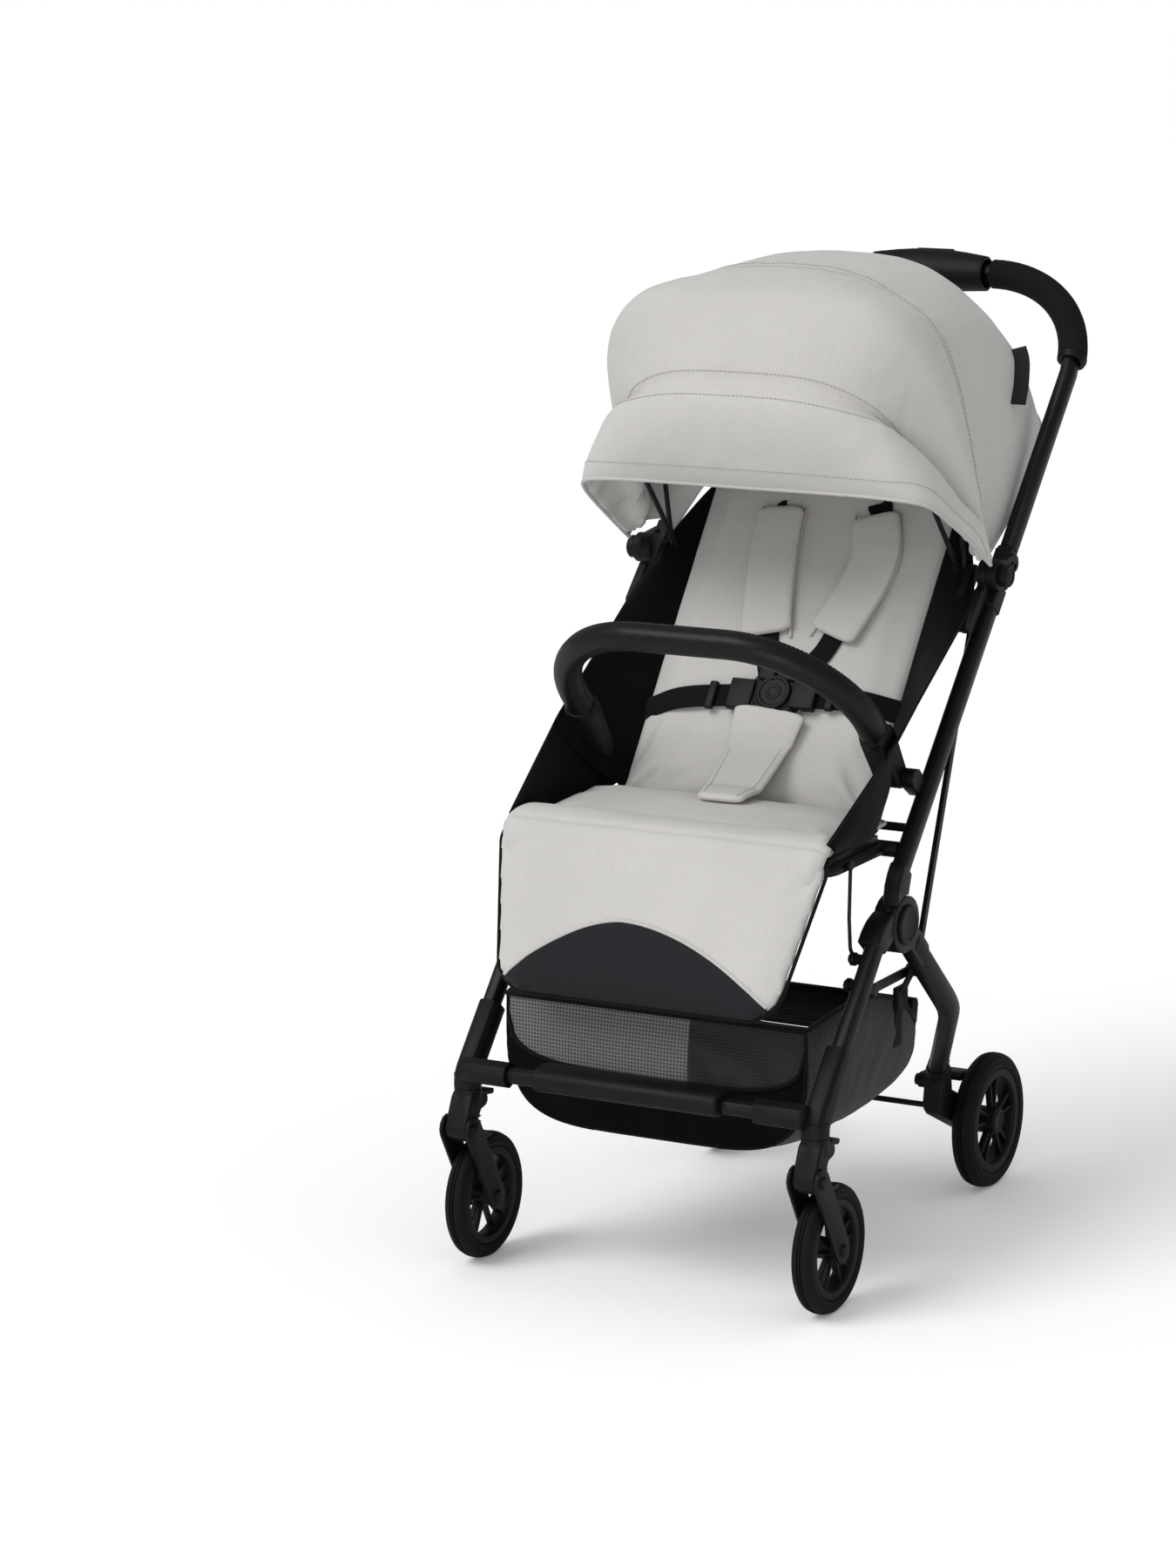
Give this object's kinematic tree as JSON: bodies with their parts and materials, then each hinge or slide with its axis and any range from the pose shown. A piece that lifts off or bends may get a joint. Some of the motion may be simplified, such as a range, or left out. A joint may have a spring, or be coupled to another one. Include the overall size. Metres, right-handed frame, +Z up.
{
  "type": "compact stroller",
  "caption": "Compact folding stroller with a padded seat, leg rest, bumper bar, hood, push handle, storage basket and sprung swivel front wheels.",
  "frame": {"origin": "centre of the footprint on the ground", "axes": "+Z up, -Y the way the child faces (front wheels), +Y to the push handle, +X to the child's left"},
  "size_m": [0.4768, 0.7856, 1.068],
  "materials": {
    "frame_coat": "satin black powder coat",
    "moulded_black": "matte moulded",
    "tyre_foam": "matte foamed tyre",
    "canopy_cloth": "woven, light warm grey",
    "seat_cloth": "woven, light warm grey with a charcoal panel",
    "basket_mesh": "black mesh with padded rim",
    "harness_pads": "light grey padded covers on black webbing",
    "bumper_leather": "stitched grain",
    "grip_foam": "matte foam",
    "spring_steel": "bright"
  },
  "bodies": {
    "rear_frame": {"rear_leg_right": "frame_coat", "rear_leg_left": "frame_coat", "rear_mount_right": "moulded_black", "rear_mount_left": "moulded_black", "hub_pin_right": "moulded_black", "hub_pin_left": "moulded_black", "brake_rod": "frame_coat", "basket": "basket_mesh"},
    "rear_wheel_right": {"rear_rim_right": "moulded_black", "rear_tyre_right": "tyre_foam"},
    "rear_wheel_left": {"rear_rim_left": "moulded_black", "rear_tyre_left": "tyre_foam"},
    "brake_pedal": {"brake_pedal": "moulded_black"},
    "side_frame": {"side_tube_right": "frame_coat", "side_tube_left": "frame_coat", "side_collar_right": "moulded_black", "side_collar_left": "moulded_black", "canopy": "canopy_cloth"},
    "front_frame": {"front_leg_right": "frame_coat", "front_leg_left": "frame_coat", "front_fitting_right": "moulded_black", "front_fitting_left": "moulded_black", "front_crossbar": "frame_coat", "foot_bar": "moulded_black"},
    "handle": {"handle_tube": "frame_coat", "handle_grip": "grip_foam", "handle_housing": "moulded_black", "handle_joint_right": "moulded_black", "handle_joint_left": "moulded_black"},
    "fold_button": {"fold_button": "moulded_black"},
    "link_bars": {"link_bar_right": "frame_coat", "link_bar_left": "frame_coat"},
    "braces_rear": {"brace_rear_right": "frame_coat", "brace_rear_left": "frame_coat"},
    "braces_front": {"brace_front_right": "frame_coat", "brace_front_left": "frame_coat"},
    "wire_links": {"wire_link_right": "frame_coat", "wire_link_left": "frame_coat"},
    "seat": {"seat_base_frame": "frame_coat", "seat_pad": "seat_cloth"},
    "leg_rest": {"leg_rest_pad": "seat_cloth"},
    "backrest": {"backrest_pad": "seat_cloth", "harness": "harness_pads", "buckle": "moulded_black"},
    "buckle_button": {"buckle_button": "moulded_black"},
    "bumper": {"bumper_bar": "bumper_leather"},
    "canopy_front": {"canopy_bow_front": "frame_coat"},
    "canopy_mid": {"canopy_bow_mid": "frame_coat"},
    "caster_right": {"caster_head_right": "moulded_black", "caster_spring_right": "spring_steel"},
    "caster_arm_right": {"caster_arm_right": "moulded_black"},
    "swivel_lock_right": {"swivel_lock_right": "moulded_black"},
    "front_wheel_right": {"front_rim_right": "moulded_black", "front_tyre_right": "tyre_foam"},
    "caster_left": {"caster_head_left": "moulded_black", "caster_spring_left": "spring_steel"},
    "caster_arm_left": {"caster_arm_left": "moulded_black"},
    "swivel_lock_left": {"swivel_lock_left": "moulded_black"},
    "front_wheel_left": {"front_rim_left": "moulded_black", "front_tyre_left": "tyre_foam"}
  },
  "joints": [
    {"name": "rear_wheel_right_spin", "type": "hinge", "parent": "rear_frame", "child": "rear_wheel_right", "pos_m": [0.171, 0.16624, 0.0775], "axis": [1, 0, 0], "continuous": true},
    {"name": "rear_wheel_left_spin", "type": "hinge", "parent": "rear_frame", "child": "rear_wheel_left", "pos_m": [-0.171, 0.16624, 0.0775], "axis": [1, 0, 0], "continuous": true},
    {"name": "brake_pedal_press", "type": "hinge", "parent": "rear_frame", "child": "brake_pedal", "pos_m": [0.125, 0.09124, 0.138], "axis": [-1, 0, 0], "range_deg": [0, 12]},
    {"name": "frame_fold", "type": "hinge", "parent": "rear_frame", "child": "side_frame", "pos_m": [0, -0.15776, 0.386], "axis": [-1, 0, 0], "range_deg": [0, 80.5], "deforming": ["canopy", "basket", "harness"]},
    {"name": "front_fold", "type": "hinge", "parent": "rear_frame", "child": "front_frame", "pos_m": [0, -0.15776, 0.386], "axis": [1, 0, 0], "range_deg": [0, 75.38]},
    {"name": "handle_fold", "type": "hinge", "parent": "side_frame", "child": "handle", "pos_m": [0, 0.07281, 0.72876], "axis": [1, 0, 0], "range_deg": [0, 163.37]},
    {"name": "link_bar_fold", "type": "hinge", "parent": "rear_frame", "child": "link_bars", "pos_m": [0, -0.08536, 0.317], "axis": [-1, 0, 0], "range_deg": [0, 87.74]},
    {"name": "brace_rear_fold", "type": "hinge", "parent": "rear_frame", "child": "braces_rear", "pos_m": [0, -0.08536, 0.317], "axis": [1, 0, 0], "range_deg": [0, 63.59]},
    {"name": "brace_front_fold", "type": "hinge", "parent": "front_frame", "child": "braces_front", "pos_m": [0, -0.24686, 0.3371], "axis": [-1, 0, 0], "range_deg": [0, 141.56]},
    {"name": "wire_link_fold", "type": "hinge", "parent": "front_frame", "child": "wire_links", "pos_m": [0, -0.22666, 0.3607], "axis": [-1, 0, 0], "range_deg": [0, 68.27]},
    {"name": "seat_fold", "type": "hinge", "parent": "side_frame", "child": "seat", "pos_m": [0, -0.13776, 0.462], "axis": [1, 0, 0], "range_deg": [0, 57.04]},
    {"name": "bumper_fold", "type": "hinge", "parent": "side_frame", "child": "bumper", "pos_m": [0, -0.10976, 0.535], "axis": [1, 0, 0], "range_deg": [0, 75.38]},
    {"name": "leg_rest_tilt", "type": "hinge", "parent": "seat", "child": "leg_rest", "pos_m": [0, -0.29276, 0.47], "axis": [1, 0, 0], "range_deg": [-66, 0]},
    {"name": "backrest_recline", "type": "hinge", "parent": "side_frame", "child": "backrest", "pos_m": [0, -0.10976, 0.48], "axis": [1, 0, 0], "range_deg": [-34, 0]},
    {"name": "canopy_swing", "type": "hinge", "parent": "side_frame", "child": "canopy_front", "pos_m": [0, 0.07281, 0.72876], "axis": [1, 0, 0], "range_deg": [-40, 0], "deforming": ["canopy"]},
    {"name": "canopy_mid_swing", "type": "hinge", "parent": "side_frame", "child": "canopy_mid", "pos_m": [0, 0.07281, 0.72876], "axis": [1, 0, 0], "range_deg": [-20.5, 0]},
    {"name": "caster_right_swivel", "type": "hinge", "parent": "front_frame", "child": "caster_right", "pos_m": [0.211, -0.35276, 0.2], "axis": [0, 0, 1], "continuous": true},
    {"name": "swivel_lock_right_turn", "type": "hinge", "parent": "caster_right", "child": "swivel_lock_right", "pos_m": [0.211, -0.32776, 0.189], "axis": [1, 0, 0], "range_deg": [0, 25]},
    {"name": "suspension_right", "type": "hinge", "parent": "caster_right", "child": "caster_arm_right", "pos_m": [0.211, -0.37056, 0.157], "axis": [1, 0, 0], "range_deg": [0, 10], "stiffness_Nm_per_rad": 20, "springref_deg": -5.73, "deforming": ["caster_spring_right"]},
    {"name": "front_wheel_right_spin", "type": "hinge", "parent": "caster_arm_right", "child": "front_wheel_right", "pos_m": [0.211, -0.32276, 0.07], "axis": [1, 0, 0], "continuous": true},
    {"name": "caster_left_swivel", "type": "hinge", "parent": "front_frame", "child": "caster_left", "pos_m": [-0.211, -0.35276, 0.2], "axis": [0, 0, 1], "continuous": true},
    {"name": "swivel_lock_left_turn", "type": "hinge", "parent": "caster_left", "child": "swivel_lock_left", "pos_m": [-0.211, -0.32776, 0.189], "axis": [1, 0, 0], "range_deg": [0, 25]},
    {"name": "suspension_left", "type": "hinge", "parent": "caster_left", "child": "caster_arm_left", "pos_m": [-0.211, -0.37056, 0.157], "axis": [1, 0, 0], "range_deg": [0, 10], "stiffness_Nm_per_rad": 20, "springref_deg": -5.73, "deforming": ["caster_spring_left"]},
    {"name": "front_wheel_left_spin", "type": "hinge", "parent": "caster_arm_left", "child": "front_wheel_left", "pos_m": [-0.211, -0.32276, 0.07], "axis": [1, 0, 0], "continuous": true},
    {"name": "fold_button_press", "type": "slide", "parent": "handle", "child": "fold_button", "axis": [0, -0.6691, -0.7431], "range_m": [0, 0.0032], "stiffness_N_per_m": 800, "springref_m": -0.002},
    {"name": "buckle_press", "type": "slide", "parent": "backrest", "child": "buckle_button", "axis": [0, 0.809, -0.5878], "range_m": [0, 0.002], "stiffness_N_per_m": 600, "springref_m": -0.002}
  ],
  "couplings": [
    {"joint": "front_fold", "follows": "frame_fold", "ratio": 0.93023},
    {"joint": "handle_fold", "follows": "frame_fold", "ratio": 2.0233},
    {"joint": "link_bar_fold", "follows": "frame_fold", "ratio": 1.0837},
    {"joint": "brace_rear_fold", "follows": "frame_fold", "ratio": 0.78372},
    {"joint": "brace_front_fold", "follows": "frame_fold", "ratio": 1.7523},
    {"joint": "wire_link_fold", "follows": "frame_fold", "ratio": 0.84186},
    {"joint": "seat_fold", "follows": "frame_fold", "ratio": 0.70233},
    {"joint": "bumper_fold", "follows": "frame_fold", "ratio": 0.93023},
    {"joint": "canopy_mid_swing", "follows": "canopy_swing", "ratio": 0.5}
  ]
}
